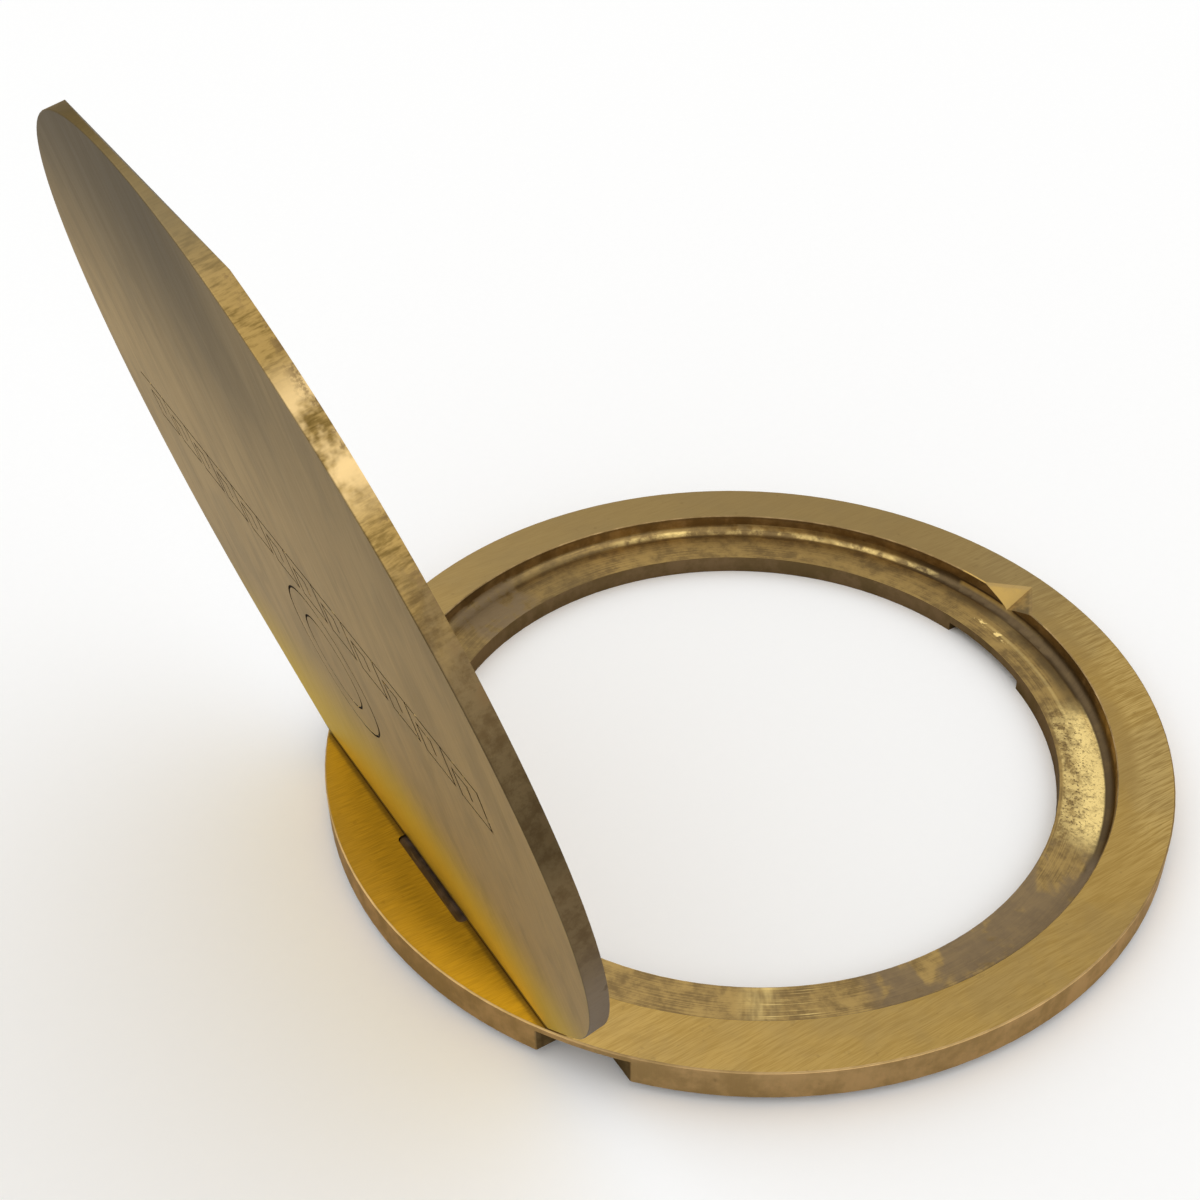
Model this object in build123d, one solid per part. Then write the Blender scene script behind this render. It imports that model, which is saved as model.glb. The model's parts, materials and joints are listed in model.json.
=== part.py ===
"""Round brass access cover: a flat ring frame with a hinged lid, shown with the lid standing open.

The origin is the ring's centre in the plane of the flange's underside, +Z is up, and the hinge runs
along X on the +Y side. A thin collar around the opening reaches below that plane.
The lid is drawn closed, lying on the ring, and then turned open about the hinge pin.
"""

import math
import os

from build123d import *

# Ring frame
ring_radius = 125.0
ring_height = 10.0
recess_radius = 109.0
recess_depth = 6.5
recess_foot_radius = 3.0
opening_radius = 93.5
collar_wall = 4.5
collar_depth = 2.4
edge_break = 0.4
inner_edge_break = 0.3

# Solid pad that interrupts the recess under the hinge
pad_y = 98.0
pad_corner_radius = 5.0

# Finger scoop in the flange, opposite the hinge
scoop_angle = -88.0
scoop_half_width = 10.5
scoop_reach = 10.4
scoop_depth = 4.7

# Reliefs cut into the underside
corner_relief_x = 62.5
corner_relief_y = 92.9
corner_plate = 2.0
notch_left = -21.2
notch_right = 12.8
notch_height = 0.7
notch_outer_radius = 108.0

# Lid
lid_radius = 119.0
lid_thickness = 5.0
lid_corner_x = 65.0
lid_corner_radius = 4.0
lid_edge_break = 0.35
closed_gap = 0.05
bevel_start = 110.0
bevel_height = 3.4

# Hinge: the lid's outer corner comes down on hinge_line_y when the lid is fully open
open_angle = 102.5
stop_gap = 0.1
hinge_line_y = 106.1
pin_height = 2.6
pin_radius = 1.0
pin_left = -39.0
pin_right = 41.0
pin_end_chamfer = 0.2
pin_clearance = 0.04
lid_bore_clearance = 0.02
plug_clearance = 0.01

# Steel hinge block, let into the ring from below
block_centre_x = -4.4
slot_half_length = 18.6
slot_inner_y = 102.3
slot_outer_y = 108.7
slot_corner_radius = 1.6
block_clearance = 0.15
block_top_drop = 0.5
knuckle_radius = 1.65
riser_outer = 1.1
riser_corner_radius = 1.3
overhang_reach = 5.0
pocket_clearance = 0.2
foot_half_length = 30.0
foot_inner_y = 99.2
foot_outer_y = 113.0
foot_height = 4.0
foot_inset = 0.2
foot_corner_radius = 3.0

# Countersunk screws that hold the block's foot
screw_x = 24.5
screw_radius = 1.5
screw_head_radius = 2.9
screw_length = 7.8
screw_hole_depth = 8.6
screw_clearance = 0.03
screw_sink_clearance = 0.1
screw_head_drop = 0.05
screw_end_chamfer = 0.4
socket_flats = 2.0
socket_depth = 1.1

# Engraved ornament on the lid's outer face
groove_depth = 0.3
groove_width = 0.7
key_units = 12
key_grid = 3.1
key_pitch = 5.0
key_turns = [(0.0, 0.0), (0.0, 4.0), (4.0, 4.0), (4.0, 1.3), (2.0, 1.3), (2.0, 2.7)]
key_centre_y = -9.3
circle_centre_y = 22.6
circle_radii = (21.0, 13.0)

# How far cutters run past the surfaces they cut
overrun = 1.0

# Derived places
ledge_z = ring_height - recess_depth
lid_bottom = ring_height + closed_gap
lid_top = lid_bottom + lid_thickness
pin_z = ring_height + pin_height
tilt = math.radians(open_angle - 90.0)
skin_rise = lid_top - pin_z
edge_reach = (pin_height - stop_gap - skin_rise * math.sin(tilt)) / math.cos(tilt)
pin_y = hinge_line_y - skin_rise * math.cos(tilt) + edge_reach * math.sin(tilt)
lid_edge_y = pin_y + edge_reach
screw_y = (foot_inner_y + foot_outer_y) / 2.0
slot_left = block_centre_x - slot_half_length
slot_right = block_centre_x + slot_half_length
foot_left = block_centre_x - foot_half_length
foot_right = block_centre_x + foot_half_length


def slab(x0, x1, y0, y1, z0, z1):
    """A box between two opposite corners."""
    centre = Location(((x0 + x1) / 2.0, (y0 + y1) / 2.0, (z0 + z1) / 2.0))
    return centre * Box(x1 - x0, y1 - y0, z1 - z0)


def rounded_slab(x0, x1, y0, y1, z0, z1, radius):
    """A box whose upright corners are rounded."""
    body = slab(x0, x1, y0, y1, z0, z1)
    return fillet(body.edges().filter_by(Axis.Z), radius)


def rod_along_x(x0, x1, y, z, radius):
    """A round bar along X."""
    middle = Location(((x0 + x1) / 2.0, y, z), (0.0, 90.0, 0.0))
    return middle * Cylinder(radius, x1 - x0)


def ring_blank():
    """The plain ring with broken outer edges, the round opening and the collar below it."""
    blank = Cylinder(ring_radius, ring_height, align=(Align.CENTER, Align.CENTER, Align.MIN))
    blank = chamfer(blank.edges().filter_by(GeomType.CIRCLE), edge_break)
    collar = Cylinder(opening_radius + collar_wall, collar_depth, align=(Align.CENTER, Align.CENTER, Align.MAX))
    collar = chamfer(collar.edges().group_by(Axis.Z)[0], edge_break)
    return blank + collar - Cylinder(opening_radius, 4.0 * ring_height)


def recess():
    """The seat below the flange, stopped by the hinge pad, with a rounded foot."""
    outline = Circle(recess_radius) - Location((0, pad_y + ring_radius)) * Rectangle(
        2.0 * ring_radius, 2.0 * ring_radius
    )
    outline = fillet(outline.vertices(), pad_corner_radius)
    cutter = extrude(Location((0, 0, ledge_z)) * outline, 2.0 * recess_depth)
    foot = cutter.edges().group_by(Axis.Z)[0]
    return fillet(foot, recess_foot_radius)


def tetrahedron(a, b, c, d):
    """A solid with four corners."""
    faces = [Face(Wire.make_polygon(corners)) for corners in ((a, b, c), (a, b, d), (b, c, d), (a, c, d))]
    return Solid(Shell(faces))


def finger_scoop():
    """Two facets that meet in a valley, running down from the flange into the recess."""
    past = 1.35  # the facets' corners are drawn this many times further out than the flange's edge
    tip = Vector(recess_radius + scoop_reach, 0, ring_height)
    left = Vector(recess_radius, scoop_half_width, ring_height)
    right = Vector(recess_radius, -scoop_half_width, ring_height)
    low = Vector(recess_radius, 0, ring_height - scoop_depth)
    left = tip + (left - tip) * past
    right = tip + (right - tip) * past
    low = tip + (low - tip) * past
    cutter = tetrahedron(tip, left, right, low)
    above_ledge = slab(0, ring_radius, -ring_radius, ring_radius, ledge_z, 2.0 * ring_height)
    return Rotation(0, 0, scoop_angle) * (cutter & above_ledge)


def corner_relief(side):
    """Open pocket under one end of the hinge line; side is -1 or 1."""
    far = ring_radius + overrun
    x0 = corner_relief_x if side > 0 else -far
    x1 = far if side > 0 else -corner_relief_x
    return slab(x0, x1, corner_relief_y, far, -overrun, ring_height - corner_plate)


def front_notch():
    """Gap in the collar and a shallow pocket above it, opposite the hinge."""
    reach = slab(notch_left, notch_right, -ring_radius, 0, -collar_depth - overrun, notch_height)
    limit = Cylinder(notch_outer_radius, 4.0 * ring_height)
    return reach & limit


def block_seat():
    """The slot through the pad and the wider pocket below it for the block's foot."""
    slot = rounded_slab(
        slot_left,
        slot_right,
        slot_inner_y,
        slot_outer_y,
        -overrun,
        ring_height + overrun,
        slot_corner_radius,
    )
    pocket = rounded_slab(
        foot_left - block_clearance,
        foot_right + block_clearance,
        foot_inner_y - block_clearance,
        foot_outer_y + block_clearance,
        -overrun,
        foot_height,
        foot_corner_radius,
    )
    return slot + pocket


def screw_axes():
    """Places of the two screws on the underside, with +Z pointing into the ring."""
    return [Location((block_centre_x + x, screw_y, 0)) for x in (-screw_x, screw_x)]


def make_ring_frame():
    """Flat ring with a recessed seat, a finger scoop and the seat of the hinge block."""
    ring = ring_blank() - recess()
    rims = ring.edges().filter_by(lambda e: e.center().Z > ring_height - 0.01)
    inner = [e for e in rims if (e @ 0.5).X ** 2 + (e @ 0.5).Y ** 2 < (recess_radius + 1.0) ** 2]
    ring = chamfer(inner, inner_edge_break)
    ring = ring - finger_scoop()
    ring = ring - corner_relief(-1) - corner_relief(1)
    ring = ring - front_notch() - block_seat()
    for place in screw_axes():
        hole = Cylinder(screw_radius, screw_hole_depth, align=(Align.CENTER, Align.CENTER, Align.MIN))
        ring = ring - place * hole
    return ring


def lid_outline():
    """A disc whose hinge side runs out along two tangents to a straight edge."""
    corner_angle = math.atan2(lid_edge_y, lid_corner_x)
    corner_distance = math.hypot(lid_edge_y, lid_corner_x)
    touch_angle = corner_angle - math.acos(lid_radius / corner_distance)
    touch_x = lid_radius * math.cos(touch_angle)
    touch_y = lid_radius * math.sin(touch_angle)
    edge = Line((-lid_corner_x, lid_edge_y), (lid_corner_x, lid_edge_y))
    right = Line((lid_corner_x, lid_edge_y), (touch_x, touch_y))
    disc = ThreePointArc((touch_x, touch_y), (0, -lid_radius), (-touch_x, touch_y))
    left = Line((-touch_x, touch_y), (-lid_corner_x, lid_edge_y))
    outline = make_face([edge, right, disc, left])
    corners = outline.vertices().group_by(Axis.Y)[-1]
    return fillet(corners, lid_corner_radius)


def lid_blank():
    """The lid's plate, closed, with its edges broken."""
    plate = extrude(Location((0, 0, lid_bottom)) * lid_outline(), lid_thickness)
    top = plate.edges().group_by(Axis.Z)[-1]
    plate = fillet(top, lid_edge_break)
    return plate


def hinge_edge_cutter():
    """What is removed so that the lower hinge edge is round about the pin and rolls over the flange."""
    corner = slab(-ring_radius, ring_radius, pin_y, ring_radius, lid_bottom - overrun, pin_z)
    round_bar = rod_along_x(
        -ring_radius - overrun, ring_radius + overrun, pin_y, pin_z, pin_height - closed_gap
    )
    return corner - round_bar


def finger_bevel():
    """The sloping cut under the lid's free end, above the scoop."""
    run = lid_radius - bevel_start
    past = 2.0  # the cut goes on outwards for this many times the bevel's own run
    section = Plane.YZ * make_face(
        Polyline(
            (-bevel_start, lid_bottom),
            (-bevel_start - past * run, lid_bottom + past * bevel_height),
            (-bevel_start - past * run, lid_bottom - overrun),
            (-bevel_start, lid_bottom - overrun),
            close=True,
        )
    )
    return extrude(section, ring_radius, both=True)


def knuckle_pocket():
    """Room under the lid's hinge edge for the block's knuckle."""
    reach = knuckle_radius + pocket_clearance
    return slab(
        slot_left,
        slot_right,
        pin_y - reach,
        lid_edge_y + overrun,
        lid_bottom - overrun,
        pin_z + reach,
    )


def stroke(x0, y0, x1, y1):
    """One straight engraved line in the lid's plane."""
    length = math.hypot(x1 - x0, y1 - y0) + groove_width
    angle = math.degrees(math.atan2(y1 - y0, x1 - x0))
    return Location(((x0 + x1) / 2.0, (y0 + y1) / 2.0), angle) * Rectangle(length, groove_width)


def key_band():
    """A running key pattern across the lid, parallel to the hinge."""
    x_start = -key_units * key_pitch * key_grid / 2.0
    y_start = key_centre_y - 2.0 * key_grid
    band = stroke(x_start, y_start, -x_start, y_start)
    for unit in range(key_units):
        x = x_start + unit * key_pitch * key_grid
        for (u0, v0), (u1, v1) in zip(key_turns, key_turns[1:]):
            band += stroke(
                x + u0 * key_grid,
                y_start + v0 * key_grid,
                x + u1 * key_grid,
                y_start + v1 * key_grid,
            )
    return band


def engraved_circles():
    """Two plain circles between the key band and the hinge."""
    rings = Sketch()
    for radius in circle_radii:
        rings += Circle(radius + groove_width / 2.0) - Circle(radius - groove_width / 2.0)
    return Location((0, circle_centre_y)) * rings


def engraving():
    """All grooves of the outer face, as cutters."""
    floor = Location((0, 0, lid_top - groove_depth))
    return extrude(floor * key_band(), overrun) + extrude(floor * engraved_circles(), overrun)


def opened(shape):
    """Turns a closed piece about the pin to the open pose."""
    pin_axis = Axis((0, pin_y, pin_z), (-1, 0, 0))
    return shape.rotate(pin_axis, open_angle)


def make_lid():
    """Flat lid that lies on the flange when closed."""
    lid = lid_blank() - hinge_edge_cutter() - finger_bevel() - knuckle_pocket()
    bore_radius = pin_radius + lid_bore_clearance
    bore = rod_along_x(pin_left - overrun, ring_radius, pin_y, pin_z, bore_radius)
    return opened(lid - bore - engraving())


def make_hinge_pin():
    """Plain steel pin through the knuckle, housed in the lid's bore."""
    pin = rod_along_x(pin_left, pin_right, pin_y, pin_z, pin_radius)
    pin = chamfer(pin.edges().filter_by(GeomType.CIRCLE), pin_end_chamfer)
    return opened(pin)


def make_pin_plug():
    """Brass plug that closes the mouth of the pin's bore, dressed flush with the lid's side."""
    radius = pin_radius + lid_bore_clearance - plug_clearance
    plug = rod_along_x(pin_right + overrun, ring_radius, pin_y, pin_z, radius)
    return opened(plug & lid_blank())


def make_hinge_block():
    """T-shaped block: a foot under the ring, a tongue in the slot and a knuckle around the pin."""
    foot = rounded_slab(
        foot_left,
        foot_right,
        foot_inner_y,
        foot_outer_y,
        foot_inset,
        foot_height,
        foot_corner_radius,
    )
    tongue = rounded_slab(
        slot_left + block_clearance,
        slot_right - block_clearance,
        slot_inner_y + block_clearance,
        slot_outer_y - block_clearance,
        foot_height - overrun,
        ring_height - block_top_drop,
        slot_corner_radius,
    )
    left = slot_left + 2.0 * block_clearance
    right = slot_right - 2.0 * block_clearance
    riser = rounded_slab(
        left,
        right,
        pin_y - knuckle_radius,
        pin_y + riser_outer,
        foot_height,
        pin_z,
        riser_corner_radius,
    )
    knuckle = rod_along_x(left, right, pin_y, pin_z, knuckle_radius)
    over_y = pin_y + riser_outer
    overhang = slab(left, right, over_y, over_y + overhang_reach, ring_height, pin_z - knuckle_radius)
    block = foot + tongue + riser + knuckle - overhang
    block = block - rod_along_x(left - overrun, right + overrun, pin_y, pin_z, pin_radius + pin_clearance)
    sink_depth = screw_head_radius - screw_radius
    for place in screw_axes():
        hole = Cylinder(screw_radius + screw_sink_clearance, 3.0 * foot_height)
        sink = Cone(
            screw_head_radius + screw_sink_clearance,
            screw_radius + screw_sink_clearance,
            sink_depth,
            align=(Align.CENTER, Align.CENTER, Align.MIN),
        )
        block = block - place * hole - place * Location((0, 0, foot_inset)) * sink
    return block


def make_block_screws():
    """Two countersunk socket screws, heads down."""
    low = (Align.CENTER, Align.CENTER, Align.MIN)
    sink_depth = screw_head_radius - screw_radius
    head = Cone(screw_head_radius, screw_radius, sink_depth, align=low)
    shank = Cylinder(screw_radius - screw_clearance, screw_length, align=low)
    shank = chamfer(shank.edges().group_by(Axis.Z)[-1], screw_end_chamfer)
    socket = extrude(RegularPolygon(socket_flats / 2.0, 6, major_radius=False), socket_depth)
    screw = head + shank - socket
    lift = Location((0, 0, foot_inset + screw_head_drop))
    return Compound([place * lift * screw for place in screw_axes()])


def main():
    os.makedirs("parts", exist_ok=True)
    nodes = {
        "ring_frame": make_ring_frame(),
        "lid": make_lid(),
        "hinge_block": make_hinge_block(),
        "hinge_pin": make_hinge_pin(),
        "pin_plug": make_pin_plug(),
        "block_screws": make_block_screws(),
    }
    for name, shape in nodes.items():
        export_step(shape, f"parts/{name}.step")


main()
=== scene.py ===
import json
import math

import bpy
from mathutils import Matrix, Vector


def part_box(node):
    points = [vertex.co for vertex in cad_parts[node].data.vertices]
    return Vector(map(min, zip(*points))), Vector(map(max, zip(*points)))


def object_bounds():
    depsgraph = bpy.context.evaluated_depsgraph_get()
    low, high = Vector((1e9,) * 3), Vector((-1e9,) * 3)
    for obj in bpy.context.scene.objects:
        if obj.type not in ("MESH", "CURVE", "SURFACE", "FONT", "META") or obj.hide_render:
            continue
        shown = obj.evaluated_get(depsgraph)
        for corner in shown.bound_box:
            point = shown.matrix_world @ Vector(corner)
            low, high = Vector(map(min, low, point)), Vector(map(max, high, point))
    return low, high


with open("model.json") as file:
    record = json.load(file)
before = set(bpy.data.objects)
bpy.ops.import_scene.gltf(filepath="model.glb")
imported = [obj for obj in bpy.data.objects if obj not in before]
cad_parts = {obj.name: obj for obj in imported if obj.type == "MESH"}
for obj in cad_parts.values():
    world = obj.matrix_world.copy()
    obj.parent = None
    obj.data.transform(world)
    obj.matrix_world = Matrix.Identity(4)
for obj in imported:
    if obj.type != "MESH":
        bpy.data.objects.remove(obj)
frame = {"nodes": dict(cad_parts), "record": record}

cad_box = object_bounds()

# Camera, in metres and degrees: a hand-held close-up from above, on the hinge side
CAMERA_AZIMUTH = -120.7
CAMERA_ELEVATION = 38.04
CAMERA_ROLL = -1.30
CAMERA_DISTANCE = 0.5121
CAMERA_AIM_RIGHT = -0.0431
CAMERA_AIM_UP = 0.03775
CAMERA_LENS = 51.18

# Surroundings: what the metal mirrors is dimmer than what lights the floor
FLOOR_SIZE = 8.0
FLOOR_GAP = 0.00005
FLOOR_COLOUR = (0.96, 0.96, 0.955)
FLOOR_MIRRORED = (0.56, 0.56, 0.57)
SKY_ON_FLOOR = 1.04
SKY_MIRRORED = 0.85
SKY_SEEN = 0.97
# direction towards each soft light, the cosines where it begins and is full, and its strength
SOFT_LIGHTS = (
    ((0.50, 0.40, 0.77), 0.60, 1.0, 1.20),
    ((-0.85, -0.20, 0.48), 0.60, 1.0, 1.00),
)

# Colours of the metals, linear; those named shade, highlight or reflection are painted light
WHITE = (1.0, 1.0, 1.0)
BRASS_FLANGE = (0.477, 0.312, 0.094)
BRASS_FLANGE_DEEP = (0.385, 0.242, 0.065)
BRASS_FLANGE_DULL_AND_SHADE = (0.290, 0.208, 0.095)
BRASS_SEAT = (0.400, 0.268, 0.094)
BRASS_SEAT_DEEP = (0.205, 0.135, 0.055)
BRASS_WALL = (0.365, 0.250, 0.115)
BRASS_WALL_DARK_AND_SHADE = (0.146, 0.104, 0.050)
BRASS_FOOT_SHADE = (0.085, 0.058, 0.030)
BRASS_BORE = (0.277, 0.181, 0.085)
BRASS_OUTER = (0.662, 0.438, 0.192)
BRASS_OUTER_DEEP = (0.492, 0.323, 0.131)
BRASS_GOLD_REFLECTION = (0.232, 0.166, 0.040)
BRASS_BRIGHT_HIGHLIGHT = (1.0, 0.76, 0.30)
BRASS_LID = (0.606, 0.438, 0.191)
BRASS_LID_GREY = (0.526, 0.378, 0.179)
BRASS_LID_DARK_AND_SHADE = (0.155, 0.118, 0.062)
BRASS_LID_GOLD_REFLECTION = (0.900, 0.640, 0.060)
BRASS_RIM = (0.370, 0.243, 0.078)
BRASS_RIM_DEEP = (0.160, 0.100, 0.026)
BRASS_RIM_WORN_HIGHLIGHT = (0.780, 0.560, 0.260)
BRASS_RIM_BROWN_AND_SHADE = (0.250, 0.175, 0.085)
CORNER_GREY = (0.330, 0.255, 0.175)
TARNISH_GREY = (0.208, 0.150, 0.088)
TARNISH_BROWN_AND_SHADE = (0.154, 0.096, 0.042)
GROOVE_DARK = (0.042, 0.027, 0.014)
STEEL_DARK = (0.096, 0.062, 0.042)
STEEL_DARKER = (0.054, 0.035, 0.023)
STEEL_BRIGHT = (0.346, 0.331, 0.308)

# Places read from the CAD frame, and the widths of the ring's flange and seat
MM = 0.001
FLANGE_WIDTH = 16.0 * MM
SEAT_WIDTH = 15.5 * MM
hinge = frame["record"]["behaviour"]["joints"][0]
ring_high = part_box("ring_frame")[1]
HINGE = Vector(hinge["pos_m"])
OPEN_ANGLE = math.radians(-hinge["range_deg"][0])
FLANGE_Z = ring_high.z
RING_RADIUS = ring_high.x
RECESS_RADIUS = RING_RADIUS - FLANGE_WIDTH
OPENING_RADIUS = RECESS_RADIUS - SEAT_WIDTH
LID_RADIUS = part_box("lid")[1].x
LID_FACE = 2.45 * MM     # from the hinge's axis to the lid's outer face
LID_OUTWARD = Vector((0, math.sin(OPEN_ANGLE), math.cos(OPEN_ANGLE)))
LID_UPWARD = Vector((0, -math.cos(OPEN_ANGLE), math.sin(OPEN_ANGLE)))
STOP_LINE_Y = HINGE.y + 1.95 * MM     # where the open lid's corner stands on the flange
STOP_LINE_END = 64.0 * MM

# Stretches of the ring, in degrees from +X about +Z: start, end and how soft the ends are
SCOOP_STRETCH = (-97.0, -78.0, 1.0)
SHEEN_STRETCH = (-140.0, -78.0, 14.0)
WORN_HIGHLIGHT_STRETCH = (-142.0, -120.0, 9.0)
DIM_STRETCH = (-114.0, -80.0, 10.0)
DARKER_SEAT_STRETCH = (2.0, 60.0, 10.0)
SHADED_FOOT_STRETCH = (-150.0, -72.0, 12.0)
LIT_FOOT_STRETCH = (-64.0, -22.0, 16.0)
GREY_STRETCHES = ((166.0, 181.0, 4.0), (-180.0, -152.0, 5.0))
GREY_PATCH_STRETCH = (13.0, 24.0, 4.0)
LINE_STRETCH = (-114.0, -92.0, 8.0)
GLINT_MARKS_STRETCH = (-94.0, -86.0, 1.5)
GLINT_STRETCH = (146.5, 148.0, 3.5)
RING_GLINT_STRETCH = (149.5, 154.0, 3.0)

# Rings of the seat and the flange: inner radius, outer radius and how soft they are
WORN_HIGHLIGHT_RING = (OPENING_RADIUS + 1.5 * MM, RECESS_RADIUS - 3.2 * MM, 0.9 * MM)
LIT_FOOT_RING = (RECESS_RADIUS - 1.9 * MM, RECESS_RADIUS - 0.9 * MM, 0.5 * MM)
LINE_RING = (OPENING_RADIUS + 6.1 * MM, OPENING_RADIUS + 6.3 * MM, 0.8 * MM)
GLINT_MARKS_RING = (OPENING_RADIUS + 5.0 * MM, OPENING_RADIUS + 6.2 * MM, 0.8 * MM)
SHEEN_RING = (RING_RADIUS - 8.5 * MM, RING_RADIUS + 1.0 * MM, 4.0 * MM)

# Heights up the lid from its hinge: where a change starts and where it is complete
SHADOWED_END = (0.130, 0.222)
TIP_HEIGHT = (0.150, 0.170)
GOLDEN_REFLECTION_FOOT = (0.080, 0.018)
BROWN_RIM = (0.202, 0.177)
DEEPER_RIM_SHADE = (0.112, 0.125)
GREY_CORNER = (0.100, 0.070)

# Distances sideways from the lid's middle
TIP_SIDE = (0.059, 0.028)
SHINING_RIM = (0.070, 0.080, 0.009)
LESS_SHADOWED_X = (-0.015, -0.065)


class Paint:
    """A material written as expressions: every method adds nodes and returns a socket."""

    def __init__(self, name):
        self.material = bpy.data.materials.new(name)
        self.material.use_nodes = True
        self.tree = self.material.node_tree
        self.bsdf = self.tree.nodes["Principled BSDF"]
        coordinates = self.tree.nodes.new("ShaderNodeTexCoord")
        self.place = coordinates.outputs["Object"]
        self.normal = coordinates.outputs["Normal"]

    def feed(self, socket, value):
        """Gives an input a constant, a colour, a vector or another node's socket."""
        if isinstance(value, bpy.types.NodeSocket):
            self.tree.links.new(value, socket)
        elif isinstance(value, (tuple, Vector)) and socket.type == "RGBA":
            socket.default_value = (*value, 1.0)
        else:
            socket.default_value = value

    def math(self, operation, a, b=0.0, c=0.0, clamp=False):
        node = self.tree.nodes.new("ShaderNodeMath")
        node.operation = operation
        node.use_clamp = clamp
        for socket, value in zip(node.inputs, (a, b, c)):
            self.feed(socket, value)
        return node.outputs[0]

    def times(self, *factors):
        out = factors[0]
        for factor in factors[1:]:
            out = self.math("MULTIPLY", out, factor)
        return out

    def plus(self, *terms):
        out = terms[0]
        for term in terms[1:]:
            out = self.math("ADD", out, term)
        return out

    def blend(self, *weighted):
        """Sum of pairs of a value and its weight."""
        return self.plus(*[self.times(value, weight) for value, weight in weighted])

    def invert(self, value):
        return self.math("SUBTRACT", 1.0, value, clamp=True)

    def magnitude(self, value):
        """A value without its sign."""
        return self.math("ABSOLUTE", value)

    def length(self, a, b):
        return self.math("SQRT", self.plus(self.times(a, a), self.times(b, b)))

    def dot(self, value, direction):
        node = self.tree.nodes.new("ShaderNodeVectorMath")
        node.operation = "DOT_PRODUCT"
        self.feed(node.inputs[0], value)
        node.inputs[1].default_value = direction
        return node.outputs["Value"]

    def along(self, direction, origin=(0, 0, 0)):
        """Distance of the shaded point from origin, measured along a direction."""
        offset = self.tree.nodes.new("ShaderNodeVectorMath")
        offset.operation = "SUBTRACT"
        self.feed(offset.inputs[0], self.place)
        offset.inputs[1].default_value = origin
        return self.dot(offset.outputs[0], direction)

    def facing(self, direction):
        """Cosine between the surface's normal and a direction."""
        return self.dot(self.normal, direction)

    def step(self, value, start, end, low=0.0, high=1.0):
        """Smooth change from low to high while value goes from start to end."""
        node = self.tree.nodes.new("ShaderNodeMapRange")
        node.interpolation_type = "SMOOTHSTEP"
        for socket, number in zip(node.inputs, (value, start, end, low, high)):
            self.feed(socket, number)
        return node.outputs[0]

    def band(self, value, start, end, soft):
        """1 between start and end, 0 outside, with soft borders."""
        return self.times(self.step(value, start - soft, start), self.step(value, end + soft, end))

    def vector(self, x, y, z=0.0):
        node = self.tree.nodes.new("ShaderNodeCombineXYZ")
        for socket, value in zip(node.inputs, (x, y, z)):
            self.feed(socket, value)
        return node.outputs[0]

    def noise(self, vector=None, scale=1.0, detail=2.0, roughness=0.5, distortion=0.0):
        node = self.tree.nodes.new("ShaderNodeTexNoise")
        self.feed(node.inputs["Vector"], vector or self.place)
        node.inputs["Scale"].default_value = scale
        node.inputs["Detail"].default_value = detail
        node.inputs["Roughness"].default_value = roughness
        node.inputs["Distortion"].default_value = distortion
        return node.outputs["Fac"]

    def strokes(self, across, lengthwise, width, length, detail=2.0, distortion=0.0):
        """Long thin streaks, one stroke about width wide and length long."""
        vector = self.vector(self.times(across, 1.0 / width), self.times(lengthwise, 1.0 / length))
        return self.noise(vector, 1.0, detail, 0.6, distortion)

    def enclosed(self, reach, start, end):
        """Rises to 1 where other surfaces within reach hem the point in, as in a corner."""
        node = self.tree.nodes.new("ShaderNodeAmbientOcclusion")
        node.samples = 8
        node.inputs["Distance"].default_value = reach
        return self.step(node.outputs["AO"], start, end)

    def mix(self, factor, a, b):
        node = self.tree.nodes.new("ShaderNodeMix")
        node.data_type = "RGBA"
        node.clamp_factor = True
        colour_inputs = [socket for socket in node.inputs if socket.type == "RGBA"]
        self.feed(node.inputs["Factor"], factor)
        self.feed(colour_inputs[0], a)
        self.feed(colour_inputs[1], b)
        return next(socket for socket in node.outputs if socket.type == "RGBA")

    def shade(self, colour, brightness):
        """A colour made lighter or darker by a factor."""
        node = self.tree.nodes.new("ShaderNodeVectorMath")
        node.operation = "SCALE"
        self.feed(node.inputs[0], colour)
        self.feed(node.inputs["Scale"], brightness)
        return node.outputs[0]

    def bump(self, height, depth, strength=1.0, below=None):
        node = self.tree.nodes.new("ShaderNodeBump")
        self.feed(node.inputs["Height"], height)
        node.inputs["Distance"].default_value = depth
        self.feed(node.inputs["Strength"], strength)
        if below is not None:
            self.feed(node.inputs["Normal"], below)
        return node.outputs["Normal"]

    def brushed(self, amount, across):
        """Stretches highlights across the strokes of a brushed surface."""
        turn = self.tree.nodes.new("ShaderNodeVectorTransform")
        turn.vector_type = "VECTOR"
        turn.convert_from = "OBJECT"
        turn.convert_to = "WORLD"
        turn.inputs[0].default_value = across
        self.feed(self.bsdf.inputs["Tangent"], turn.outputs[0])
        self.feed(self.bsdf.inputs["Anisotropic"], amount)

    def finish(self, colour, metallic, roughness, normal, tint=0.0):
        self.feed(self.bsdf.inputs["Base Color"], colour)
        self.feed(self.bsdf.inputs["Specular Tint"], self.mix(tint, WHITE, colour))
        self.feed(self.bsdf.inputs["Metallic"], metallic)
        self.feed(self.bsdf.inputs["Roughness"], roughness)
        self.feed(self.bsdf.inputs["Normal"], normal)
        return self.material


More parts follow.
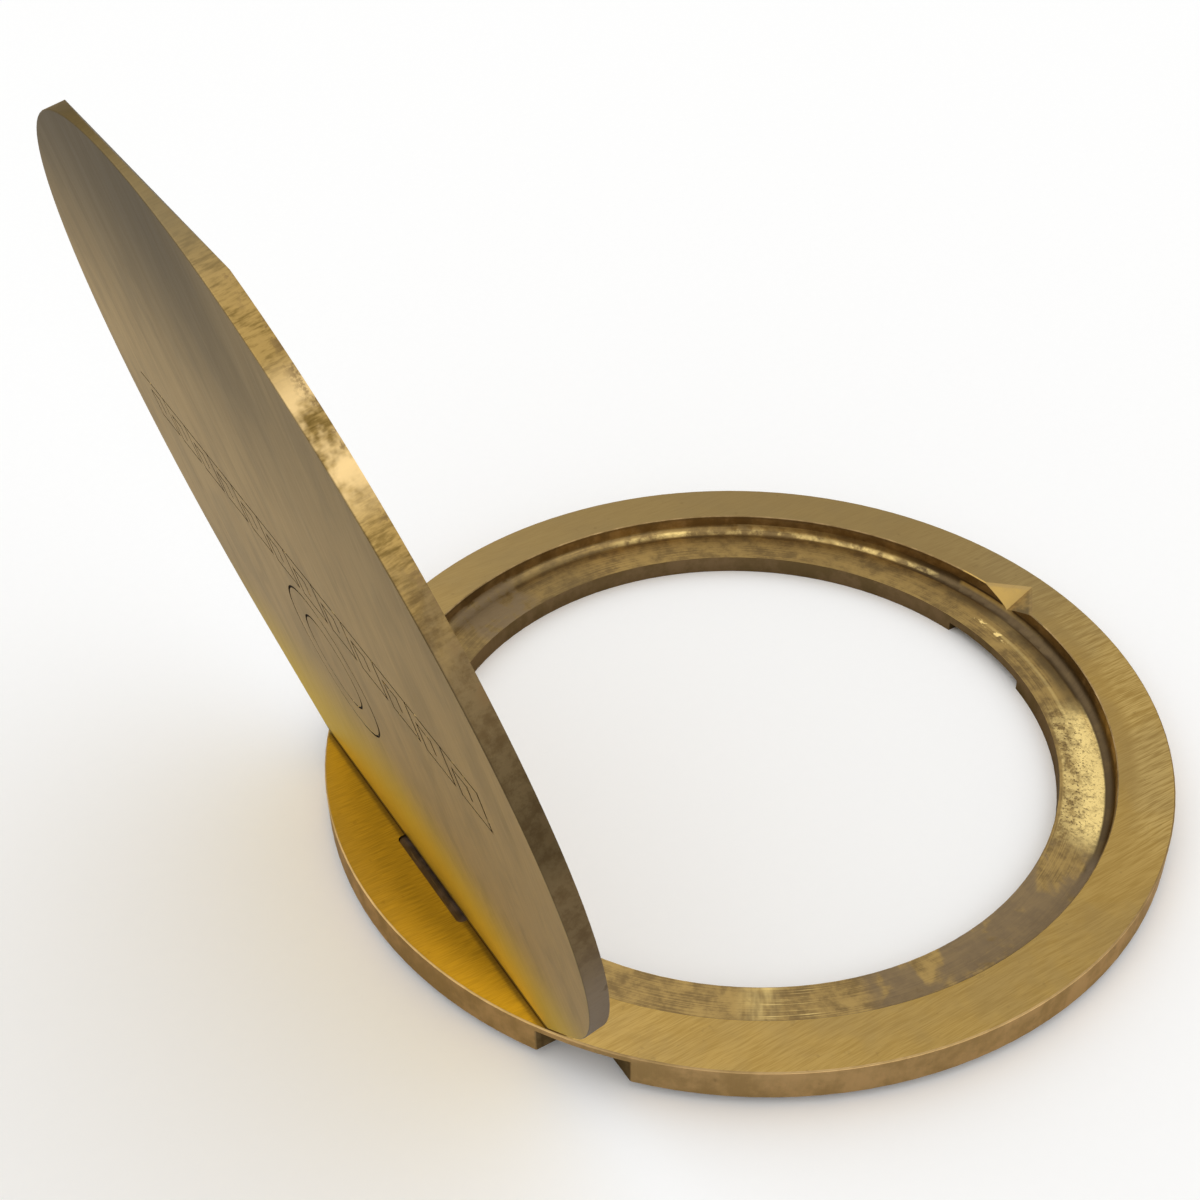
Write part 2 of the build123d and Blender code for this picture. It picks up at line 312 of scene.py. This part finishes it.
class RingBrass(Paint):
    """Linished flange, turned and tarnished seat with one stretch worn bright under a painted highlight,
    duller walls, painted shade at edges and in the recess, and painted highlights and a painted reflection
    on flange and seat.
    """

    def __init__(self):
        super().__init__("ring_brass")
        self.x = self.along((1, 0, 0))
        self.y = self.along((0, 1, 0))
        self.z = self.along((0, 0, 1))
        self.radius = self.length(self.x, self.y)
        self.angle = self.times(self.math("ARCTAN2", self.y, self.x), 180.0 / math.pi)
        self.arc = self.times(self.angle, math.pi / 180.0 * RECESS_RADIUS)
        self.up = self.facing((0, 0, 1))
        self.find_zones()
        self.find_grains()
        self.find_tarnish()

    def stretch(self, where):
        return self.band(self.angle, *where)

    def circle(self, where):
        return self.band(self.radius, *where)

    def find_zones(self):
        """1 on each part of the ring's surface, 0 elsewhere."""
        upward = self.step(self.up, 0.75, 0.97)
        below_flange = self.step(self.z, FLANGE_Z - 0.3 * MM, FLANGE_Z - 0.8 * MM)
        inside = self.step(self.radius, RECESS_RADIUS + 0.4 * MM, RECESS_RADIUS - 0.2 * MM)
        in_opening = self.step(self.radius, OPENING_RADIUS + 0.4 * MM, OPENING_RADIUS + 0.1 * MM)
        near_foot = self.step(self.radius, RECESS_RADIUS - 4.0 * MM, RECESS_RADIUS - 2.8 * MM)
        self.top = self.times(upward, self.step(self.z, FLANGE_Z - 0.9 * MM, FLANGE_Z - 0.3 * MM))
        self.seat = self.times(inside, below_flange, self.step(self.up, 0.02, 0.1))
        self.foot = self.times(self.seat, near_foot)
        self.bore = self.times(in_opening, self.invert(upward))
        self.outer = self.step(self.radius, RING_RADIUS - 0.5 * MM, RING_RADIUS - 0.2 * MM)
        self.outer_edge = self.times(
            self.outer, self.step(self.z, FLANGE_Z - 0.45 * MM, FLANGE_Z - 0.2 * MM)
        )
        self.under_edge = self.times(
            inside, self.band(self.z, FLANGE_Z - 1.1 * MM, FLANGE_Z - 0.4 * MM, 0.2 * MM)
        )
        self.scoop = self.times(
            self.step(self.radius, RECESS_RADIUS - 1.0 * MM, RECESS_RADIUS),
            self.stretch(SCOOP_STRETCH),
            self.invert(self.top),
            self.step(self.up, 0.2, 0.3),
        )

    def find_grains(self):
        """Strokes of the flange, rings of the seat, and the noises that spot them."""
        waver = self.plus(self.x, self.times(self.noise(scale=18.0), 4.0 * MM))
        self.fine = self.strokes(waver, self.y, 0.32 * MM, 7.0 * MM)
        self.medium = self.strokes(waver, self.y, 0.9 * MM, 16.0 * MM)
        broad = self.strokes(waver, self.y, 5.0 * MM, 60.0 * MM, 1.0)
        self.linished = self.blend((self.fine, 0.50), (self.medium, 0.35), (broad, 0.15))
        self.turned = self.strokes(self.radius, self.arc, 0.35 * MM, 30.0 * MM)
        self.mottle = self.noise(scale=150.0, detail=5.0, roughness=0.65)
        self.cloud = self.noise(scale=38.0, detail=4.0, roughness=0.6, distortion=0.6)
        self.wear_grain = self.noise(scale=420.0, detail=4.0, roughness=0.7, distortion=0.4)

    def find_tarnish(self):
        """Where painted shade darkens the seat's foot, where its tarnish is grey and where it is worn
        bright under a painted highlight.
        """
        shaded_foot = self.plus(0.25, self.times(self.stretch(SHADED_FOOT_STRETCH), 0.75))
        self.shaded_foot = self.times(
            self.foot, shaded_foot, self.step(self.mottle, 0.30, 0.55, 0.80, 1.0)
        )
        grey_stretches = self.plus(*[self.stretch(where) for where in GREY_STRETCHES])
        grey_patch = self.times(self.stretch(GREY_PATCH_STRETCH), self.step(self.mottle, 0.42, 0.55))
        grey = self.plus(self.times(grey_stretches, self.step(self.cloud, 0.44, 0.52)), grey_patch)
        self.grey = self.times(grey, self.seat)
        self.worn_highlight = self.times(self.stretch(WORN_HIGHLIGHT_STRETCH), self.circle(WORN_HIGHLIGHT_RING), self.seat)

    def flange_colour(self):
        """Linished brass with a dull haze and a painted highlight near the outer edge, painted shade on the
        far side, and a painted golden reflection where the open lid stands over it.
        """
        colour = self.mix(self.step(self.linished, 0.38, 0.60), BRASS_FLANGE_DEEP, BRASS_FLANGE)
        haze = self.step(self.noise(scale=32.0, detail=4.0, roughness=0.6), 0.42, 0.62)
        colour = self.mix(self.times(haze, 0.30), colour, BRASS_FLANGE_DULL_AND_SHADE)
        # Sheen: a painted highlight of bright strokes near the outer edge, in one stretch
        bright_strokes = self.step(self.blend((self.fine, 0.4), (self.medium, 0.6)), 0.40, 0.60)
        sheen = self.times(self.circle(SHEEN_RING), self.stretch(SHEEN_STRETCH), bright_strokes)
        colour = self.mix(self.times(sheen, 0.20), colour, BRASS_BRIGHT_HIGHLIGHT)
        # Painted shade: the flange darker towards its far side, in the same dull colour as the haze
        far_side_shade = self.step(self.along((0.80, -0.60, 0)), -0.02, 0.095)
        far_side_shade = self.times(far_side_shade, 0.72, self.step(self.x, -0.055, 0.02, 0.25, 1.0))
        colour = self.mix(far_side_shade, colour, BRASS_FLANGE_DULL_AND_SHADE)

        # Painted reflection: the open lid's golden glow on the flange beside the hinge, only where a corner
        # hems the flange in
        reflection_under_lid = self.times(
            self.top, self.step(self.y, HINGE.y, HINGE.y + 3.0 * MM), self.enclosed(0.10, 0.85, 0.60)
        )
        edge_glow = self.times(
            self.step(self.x, 0.030, -0.050, 0.40, 1.10),
            self.step(self.radius, RING_RADIUS - 12.0 * MM, RING_RADIUS - 1.0 * MM),
        )
        evened = self.plus(self.step(self.x, -0.050, 0.055, -0.10, 0.10), edge_glow)
        gold_reflection = self.shade(BRASS_GOLD_REFLECTION, self.plus(self.step(self.fine, 0.35, 0.65, 0.84, 1.12), evened))
        return self.mix(self.times(reflection_under_lid, 0.92), colour, gold_reflection)

    def tarnished_seat(self):
        """Turned seat with brown clouds, painted shade at its foot and over the outer part of one stretch,
        and one stretch darker.
        """
        grain = self.blend((self.turned, 0.35), (self.mottle, 0.65))
        colour = self.mix(self.step(grain, 0.38, 0.60), BRASS_SEAT_DEEP, BRASS_SEAT)
        colour = self.mix(self.step(self.cloud, 0.56, 0.70, 0.0, 0.35), colour, TARNISH_BROWN_AND_SHADE)
        outer_seat = self.step(self.radius, RECESS_RADIUS - 8.5 * MM, RECESS_RADIUS - 5.0 * MM)
        # Painted shade over the outer part of the seat in one stretch
        dim = self.times(
            self.stretch(DIM_STRETCH), outer_seat, self.step(self.cloud, 0.35, 0.55, 0.45, 0.80)
        )
        colour = self.mix(dim, colour, BRASS_WALL_DARK_AND_SHADE)
        # Painted shade at the foot of the recess wall, mottled
        colour = self.mix(self.shaded_foot, colour, BRASS_FOOT_SHADE)
        # One stretch of the seat darker
        colour = self.mix(self.times(self.stretch(DARKER_SEAT_STRETCH), 0.40), colour, BRASS_WALL_DARK_AND_SHADE)
        return self.mix(self.times(self.grey, 0.75), colour, TARNISH_GREY)

    def worn_highlight_patches(self):
        """How bright the worn stretch under its painted highlight is: uneven, and brighter away from the
        opening.
        """
        return self.times(
            self.worn_highlight,
            self.plus(
                self.step(self.radius, OPENING_RADIUS + 3.0 * MM, OPENING_RADIUS + 10.0 * MM, -0.15, 0.60),
                self.step(self.mottle, 0.30, 0.62, 0.0, 0.35),
                self.step(self.wear_grain, 0.38, 0.60, -0.10, 0.45),
            ),
        )

    def scratches(self):
        """One faint scratch line round the seat and painted glints where it ends."""
        line = self.times(self.circle(LINE_RING), self.stretch(LINE_STRETCH), 0.25)
        marks = self.times(
            self.circle(GLINT_MARKS_RING), self.stretch(GLINT_MARKS_STRETCH), self.step(self.wear_grain, 0.52, 0.60)
        )
        return self.times(self.plus(line, marks), self.seat)

    def glints(self):
        """Two short bright patches on the near side of the seat."""
        bars = self.step(self.strokes(self.arc, self.radius, 3.0 * MM, 14.0 * MM), 0.25, 0.75)
        patch = self.times(self.stretch(GLINT_STRETCH), bars, 0.40)
        rings = self.times(self.stretch(RING_GLINT_STRETCH), self.step(self.turned, 0.58, 0.70), 0.6)
        return self.times(self.plus(patch, rings), self.seat)

    def seat_colour(self):
        """The tarnished seat with painted highlights on it, the worn stretch among them, painted glints,
        and pits in the worn stretch.
        """
        colour = self.tarnished_seat()
        # Painted highlight along the foot of the recess wall in one stretch
        lit_foot = self.times(
            self.circle(LIT_FOOT_RING),
            self.seat,
            self.stretch(LIT_FOOT_STRETCH),
            self.step(self.cloud, 0.38, 0.56),
            self.step(self.mottle, 0.40, 0.58),
        )
        colour = self.mix(self.times(lit_foot, 0.7), colour, BRASS_BRIGHT_HIGHLIGHT)
        bright = self.plus(self.worn_highlight_patches(), self.glints(), self.scratches())
        colour = self.mix(bright, colour, BRASS_BRIGHT_HIGHLIGHT)
        pits = self.step(self.noise(scale=1100.0, detail=3.0, roughness=0.6), 0.56, 0.63)
        pitted = self.step(self.radius, OPENING_RADIUS + 5.0 * MM, OPENING_RADIUS + 11.5 * MM, 0.85, 0.45)
        return self.mix(self.times(self.worn_highlight, pits, pitted), colour, TARNISH_BROWN_AND_SHADE)

    def scoop_colour(self):
        """One facet of the finger scoop lit, the other in painted shade."""
        shaded_facet = self.blend(
            (self.step(self.facing((1, 0, 0)), -0.25, 0.15), 0.5),
            (self.step(self.angle, -86.0, -91.0), 0.5),
        )
        colour = self.mix(shaded_facet, BRASS_FLANGE, BRASS_WALL_DARK_AND_SHADE)
        return self.mix(self.step(self.mottle, 0.45, 0.62, 0.0, 0.5), colour, BRASS_SEAT)

    def edge_marks(self, colour):
        """Painted shade on the outer top edge, small brown marks and a painted shadow along the line where
        the open lid stands.
        """
        # Painted shade on the outer top edge, none beside the hinge
        near_hinge = self.step(self.y, RING_RADIUS - 30.0 * MM, RING_RADIUS - 17.0 * MM)
        edge_shade_colour = self.mix(near_hinge, BRASS_SEAT_DEEP, BRASS_FLANGE)
        edge = self.times(self.outer_edge, self.step(self.x, -0.115, -0.085, 0.75, 0.45))
        colour = self.mix(edge, colour, edge_shade_colour)
        marks = self.step(self.noise(scale=330.0, detail=3.0), 0.66, 0.74)
        colour = self.mix(self.times(marks, 0.22, self.invert(self.worn_highlight)), colour, TARNISH_BROWN_AND_SHADE)
        # Painted shadow along the line where the open lid stands on the flange
        stop_line_shadow = self.times(
            self.band(self.y, STOP_LINE_Y - 0.2 * MM, STOP_LINE_Y + 0.2 * MM, 0.4 * MM),
            self.step(self.magnitude(self.x), STOP_LINE_END + 2.0 * MM, STOP_LINE_END - 2.0 * MM),
        )
        return self.mix(self.times(stop_line_shadow, 0.5), colour, TARNISH_BROWN_AND_SHADE)

    def build(self):
        spots = self.step(self.blend((self.mottle, 0.5), (self.cloud, 0.5)), 0.42, 0.60)
        wall_colour = self.mix(spots, BRASS_SEAT_DEEP, BRASS_WALL)
        outer_colour = self.mix(spots, BRASS_OUTER_DEEP, BRASS_OUTER)
        bore_colour = self.mix(spots, BRASS_BORE, BRASS_SEAT_DEEP)
        colour = self.mix(self.outer, wall_colour, outer_colour)
        colour = self.mix(self.seat, colour, self.seat_colour())
        # Painted shade just under the flange's inner edge
        colour = self.mix(self.times(self.under_edge, 0.45), colour, BRASS_WALL_DARK_AND_SHADE)
        colour = self.mix(self.scoop, colour, self.scoop_colour())
        colour = self.mix(self.bore, colour, bore_colour)
        colour = self.mix(self.top, colour, self.flange_colour())
        colour = self.edge_marks(colour)

        roughness = self.plus(
            self.step(self.linished, 0.35, 0.65, 0.40, 0.30),
            self.times(self.invert(self.top), 0.08),
            self.times(self.grey, 0.20),
            self.times(self.worn_highlight, -0.14),
        )
        relief = self.blend((self.mottle, 0.6), (self.turned, 0.4))
        relief_strength = self.plus(0.15, self.times(self.worn_highlight, 0.4), self.times(self.shaded_foot, 0.4))
        seat_normal = self.bump(relief, 0.12 * MM, relief_strength)
        normal = self.bump(self.linished, 0.05 * MM, self.times(self.top, 0.6), seat_normal)
        metallic = self.math("SUBTRACT", 1.0, self.times(self.grey, 0.35))
        self.brushed(self.times(self.top, 0.45), (1, 0, 0))
        return self.finish(colour, metallic, roughness, normal, 0.6)


class LidBrass(Paint):
    """Brushed plate: streaks up its faces, strokes across the rim, dark engraving."""

    def __init__(self, name):
        super().__init__(name)
        self.x = self.along((1, 0, 0))
        self.height = self.along(LID_UPWARD, HINGE)
        self.depth = self.along(LID_OUTWARD, HINGE)
        self.outward = self.facing(LID_OUTWARD)
        self.face = self.step(self.outward, 0.80, 0.97)
        self.flat = self.step(self.magnitude(self.outward), 0.70, 0.95)
        self.rim = self.invert(self.flat)
        self.waver = self.plus(self.x, self.times(self.noise(scale=9.0), 12.0 * MM))
        fine = self.strokes(self.waver, self.height, 0.28 * MM, 12.0 * MM)
        medium = self.strokes(self.waver, self.height, 1.6 * MM, 35.0 * MM)
        broad = self.strokes(self.waver, self.height, 8.0 * MM, 70.0 * MM, 3.0, 0.5)
        self.streaks = self.blend((fine, 0.40), (medium, 0.25), (broad, 0.35))
        across = self.vector(
            self.times(self.x, 1300.0), self.times(self.height, 1300.0), self.times(self.depth, 260.0)
        )
        self.across = self.noise(across, 1.0, 3.0, 0.6)
        self.mottle = self.noise(scale=230.0, detail=5.0, roughness=0.7)
        self.patch = self.noise(scale=90.0, detail=4.0, roughness=0.65)

    def plate_colour(self):
        """Streaks and clouds, painted shade towards the free end, a painted golden reflection in the corner
        by the hinge and a painted shadow along the hinge edge.
        """
        colour = self.mix(self.step(self.streaks, 0.36, 0.64), BRASS_LID_GREY, BRASS_LID)
        cloud = self.strokes(self.waver, self.height, 11.0 * MM, 30.0 * MM, 3.0, 0.6)
        colour = self.mix(self.step(cloud, 0.42, 0.66, 0.0, 0.18), colour, BRASS_LID_DARK_AND_SHADE)
        # Painted shade, darker towards the free end
        shadowed_end = self.times(
            self.step(self.height, *SHADOWED_END, 0.0, 0.92), self.step(self.x, *LESS_SHADOWED_X, 1.0, 0.45)
        )
        colour = self.mix(shadowed_end, colour, BRASS_LID_DARK_AND_SHADE)
        scuffs = self.strokes(self.waver, self.height, 0.8 * MM, 9.0 * MM, 3.0, 0.8)
        colour = self.mix(self.step(scuffs, 0.66, 0.74, 0.0, 0.30), colour, TARNISH_GREY)
        # Painted reflection: a golden glow at the foot of the outer face, only where the corner by the
        # hinge hems it in
        off_centre = self.magnitude(self.plus(self.x, 0.010))
        reach = self.plus(self.height, self.times(off_centre, 0.22))
        golden_reflection = self.times(self.face, self.step(reach, *GOLDEN_REFLECTION_FOOT), self.enclosed(0.12, 0.98, 0.80))
        colour = self.mix(self.times(golden_reflection, 0.88), colour, BRASS_LID_GOLD_REFLECTION)
        # Painted shadow along the lid's lowest edge by the hinge
        hinge_edge_shadow = self.step(self.height, 0.9 * MM, 0.3 * MM, 0.0, 0.75)
        return self.mix(hinge_edge_shadow, colour, TARNISH_BROWN_AND_SHADE)

    def rim_colour(self):
        """Golden and mottled on the upper half with a painted highlight on a worn stretch, brown under
        painted shade on the lower, grey-brown at both ends, the tip as painted shade.
        """
        grain = self.blend((self.across, 0.45), (self.patch, 0.35), (self.mottle, 0.20))
        colour = self.mix(self.step(grain, 0.38, 0.58), BRASS_RIM_DEEP, BRASS_RIM)
        sideways = self.magnitude(self.x)
        # Shining stretch: worn metal with a painted highlight on it
        shining = self.times(self.band(sideways, *SHINING_RIM), self.step(self.patch, 0.36, 0.54), 0.90)
        colour = self.mix(shining, colour, BRASS_RIM_WORN_HIGHLIGHT)
        # Lower rim: mottled brown under painted shade, deepest in its upper part, grey near the hinge
        brown = self.mix(self.step(self.mottle, 0.34, 0.62, 0.15, 1.0), TARNISH_BROWN_AND_SHADE, BRASS_RIM_BROWN_AND_SHADE)
        brown = self.shade(brown, self.step(self.height, *DEEPER_RIM_SHADE, 1.0, 0.60))
        brown = self.mix(self.step(self.height, *GREY_CORNER, 0.0, 0.8), brown, CORNER_GREY)
        low_rim = self.step(self.plus(self.height, self.times(self.patch, 0.03)), *BROWN_RIM)
        colour = self.mix(self.times(low_rim, 0.95), colour, brown)
        # Painted shade on the rim at the free end
        shaded_tip = self.times(self.step(sideways, *TIP_SIDE), self.step(self.height, *TIP_HEIGHT))
        colour = self.mix(self.times(shaded_tip, 0.9), colour, BRASS_LID_DARK_AND_SHADE)
        towards_back = self.step(self.depth, 0.5 * MM, -2.4 * MM, 0.12, 1.0)
        spots = self.times(self.step(self.mottle, 0.52, 0.62), towards_back, 0.7)
        return self.mix(spots, colour, TARNISH_BROWN_AND_SHADE)

    def groove(self):
        """1 inside the engraving, which lies just under the outer face and clear of its border."""
        off_middle = self.math("SUBTRACT", self.height, HINGE.y)
        radius = self.length(self.x, off_middle)
        return self.times(
            self.step(self.depth, LID_FACE - 0.03 * MM, LID_FACE - 0.10 * MM),
            self.step(self.depth, LID_FACE - 0.50 * MM, LID_FACE - 0.40 * MM),
            self.step(radius, LID_RADIUS - 2.0 * MM, LID_RADIUS - 3.0 * MM),
            self.step(self.height, 2.0 * MM, 4.0 * MM),
        )

    def build(self, engraved=True):
        colour = self.mix(self.rim, self.plate_colour(), self.rim_colour())
        face_edge = self.times(self.step(self.outward, 0.97, 0.85), self.step(self.outward, 0.30, 0.55))
        colour = self.mix(self.times(face_edge, 0.4), colour, BRASS_LID_DARK_AND_SHADE)
        groove = self.groove()
        if engraved:
            glints = self.step(self.noise(scale=600.0), 0.63, 0.68)
            colour = self.mix(groove, colour, self.mix(glints, GROOVE_DARK, BRASS_BRIGHT_HIGHLIGHT))
        roughness = self.plus(
            self.step(self.streaks, 0.35, 0.65, 0.48, 0.41),
            self.times(self.rim, -0.02),
            self.times(groove, 0.15),
        )
        rim_normal = self.bump(self.across, 0.05 * MM, self.times(self.rim, 0.4))
        normal = self.bump(self.streaks, 0.05 * MM, self.times(self.flat, 0.35), rim_normal)
        tint = self.plus(0.35, self.times(self.rim, 0.35, self.step(self.height, 0.10, 0.16)))
        self.brushed(self.times(self.face, 0.35), (1, 0, 0))
        return self.finish(colour, 1.0, roughness, normal, tint)


def dark_steel():
    """Blackened steel, with scratches along the hinge and a little rust."""
    p = Paint("dark_steel")
    x = p.along((1, 0, 0))
    y = p.along((0, 1, 0))
    z = p.along((0, 0, 1))
    scratches = p.strokes(p.plus(y, z), x, 0.3 * MM, 9.0 * MM)
    mottle = p.noise(scale=240.0, detail=4.0)
    colour = p.mix(p.step(mottle, 0.40, 0.62), STEEL_DARKER, STEEL_DARK)
    colour = p.mix(p.step(scratches, 0.56, 0.72, 0.0, 0.35), colour, BRASS_RIM_BROWN_AND_SHADE)
    roughness = p.step(mottle, 0.35, 0.65, 0.40, 0.60)
    normal = p.bump(p.plus(scratches, mottle), 0.05 * MM, 0.6)
    return p.finish(colour, 0.7, roughness, normal)


def pin_steel():
    """Drawn steel wire, with turned marks round it."""
    p = Paint("pin_steel")
    marks = p.strokes(p.along((1, 0, 0)), p.along((0, 1, 0)), 0.15 * MM, 4.0 * MM)
    colour = p.shade(STEEL_BRIGHT, p.step(marks, 0.3, 0.7, 0.75, 1.1))
    roughness = p.step(marks, 0.3, 0.7, 0.22, 0.38)
    return p.finish(colour, 1.0, roughness, p.bump(marks, 0.03 * MM, 0.4))


def screw_steel():
    """Blackened screws with bright wear on what stands lowest."""
    p = Paint("screw_steel")
    mottle = p.noise(scale=500.0, detail=3.0)
    wear = p.times(p.step(p.along((0, 0, 1)), 0.6 * MM, 0.2 * MM), p.step(mottle, 0.45, 0.60))
    colour = p.mix(wear, STEEL_DARK, STEEL_BRIGHT)
    roughness = p.step(mottle, 0.3, 0.7, 0.30, 0.50)
    return p.finish(colour, 0.9, roughness, p.bump(mottle, 0.04 * MM, 0.5))


def paint_nodes():
    """Each CAD node takes its material."""
    finishes = {
        "ring_frame": RingBrass().build(),
        "lid": LidBrass("lid_brass").build(),
        "pin_plug": LidBrass("plug_brass").build(engraved=False),
        "hinge_block": dark_steel(),
        "hinge_pin": pin_steel(),
        "block_screws": screw_steel(),
    }
    for name, material in finishes.items():
        data = frame["nodes"][name].data
        data.materials.clear()
        data.materials.append(material)


def make_floor():
    """A pale floor just below the object; the metal mirrors it darker than the camera sees it."""
    half = FLOOR_SIZE / 2.0
    mesh = bpy.data.meshes.new("floor")
    corners = [(-half, -half, 0), (half, -half, 0), (half, half, 0), (-half, half, 0)]
    mesh.from_pydata(corners, [], [(0, 1, 2, 3)])
    floor = bpy.data.objects.new("floor", mesh)
    bpy.context.scene.collection.objects.link(floor)
    floor.location.z = cad_box[0].z - FLOOR_GAP
    p = Paint("floor_pale")
    ray = p.tree.nodes.new("ShaderNodeLightPath")
    grain = p.noise(scale=300.0, detail=2.0)
    pale = p.shade(FLOOR_COLOUR, p.step(grain, 0.3, 0.7, 0.995, 1.0))
    colour = p.mix(ray.outputs["Is Glossy Ray"], pale, FLOOR_MIRRORED)
    p.bsdf.inputs["Specular IOR Level"].default_value = 0.0
    mesh.materials.append(p.finish(colour, 0.0, 1.0, p.bump(grain, 0.02 * MM, 0.1)))


class Sky:
    """Even light for the floor, and a dimmer room with two soft lights for what the metal mirrors."""

    def __init__(self):
        world = bpy.data.worlds.new("soft_room")
        bpy.context.scene.world = world
        world.use_nodes = True
        self.tree = world.node_tree
        self.background = self.tree.nodes["Background"]
        self.direction = self.tree.nodes.new("ShaderNodeTexCoord").outputs["Generated"]

    def math(self, operation, a, b):
        node = self.tree.nodes.new("ShaderNodeMath")
        node.operation = operation
        for socket, value in zip(node.inputs, (a, b)):
            if isinstance(value, bpy.types.NodeSocket):
                self.tree.links.new(value, socket)
            else:
                socket.default_value = value
        return node.outputs[0]

    def soft_light(self, towards, begins, full, strength):
        """A round patch of light that fades out from its middle."""
        dot = self.tree.nodes.new("ShaderNodeVectorMath")
        dot.operation = "DOT_PRODUCT"
        self.tree.links.new(self.direction, dot.inputs[0])
        dot.inputs[1].default_value = Vector(towards).normalized()
        lobe = self.tree.nodes.new("ShaderNodeMapRange")
        lobe.interpolation_type = "SMOOTHSTEP"
        self.tree.links.new(dot.outputs["Value"], lobe.inputs[0])
        for socket, value in zip(lobe.inputs[1:5], (begins, full, 0.0, strength)):
            socket.default_value = value
        return lobe.outputs[0]

    def build(self):
        mirrored = SKY_MIRRORED
        for light in SOFT_LIGHTS:
            mirrored = self.math("ADD", mirrored, self.soft_light(*light))
        ray = self.tree.nodes.new("ShaderNodeLightPath")
        is_glossy = ray.outputs["Is Glossy Ray"]
        seen = self.math("MULTIPLY", ray.outputs["Is Camera Ray"], SKY_SEEN - SKY_ON_FLOOR)
        plain = self.math("ADD", SKY_ON_FLOOR, seen)
        glossy_part = self.math("MULTIPLY", is_glossy, mirrored)
        plain_part = self.math("MULTIPLY", self.math("SUBTRACT", 1.0, is_glossy), plain)
        strength = self.math("ADD", glossy_part, plain_part)
        self.tree.links.new(strength, self.background.inputs["Strength"])
        self.background.inputs["Color"].default_value = (*WHITE, 1.0)


def make_camera():
    """Camera turned about the flange's centre, with a small roll."""
    a = math.radians(CAMERA_AZIMUTH)
    e = math.radians(CAMERA_ELEVATION)
    roll = math.radians(CAMERA_ROLL)
    back = Vector((math.sin(a) * math.cos(e), -math.cos(a) * math.cos(e), math.sin(e)))
    level = Vector((0, 0, 1)).cross(back).normalized()
    upright = back.cross(level)
    right = math.cos(roll) * level + math.sin(roll) * upright
    up = -math.sin(roll) * level + math.cos(roll) * upright
    data = bpy.data.cameras.new("camera")
    data.lens = CAMERA_LENS
    data.sensor_width = 36.0
    camera = bpy.data.objects.new("camera", data)
    bpy.context.scene.collection.objects.link(camera)
    flange_centre = Vector((0, 0, FLANGE_Z))
    place = flange_centre + right * CAMERA_AIM_RIGHT + up * CAMERA_AIM_UP + back * CAMERA_DISTANCE
    turn = Matrix((right, up, back)).transposed().to_4x4()
    camera.matrix_world = Matrix.Translation(place) @ turn
    bpy.context.scene.camera = camera


paint_nodes()
make_floor()
Sky().build()
make_camera()
bpy.context.scene.view_settings.view_transform = "Standard"
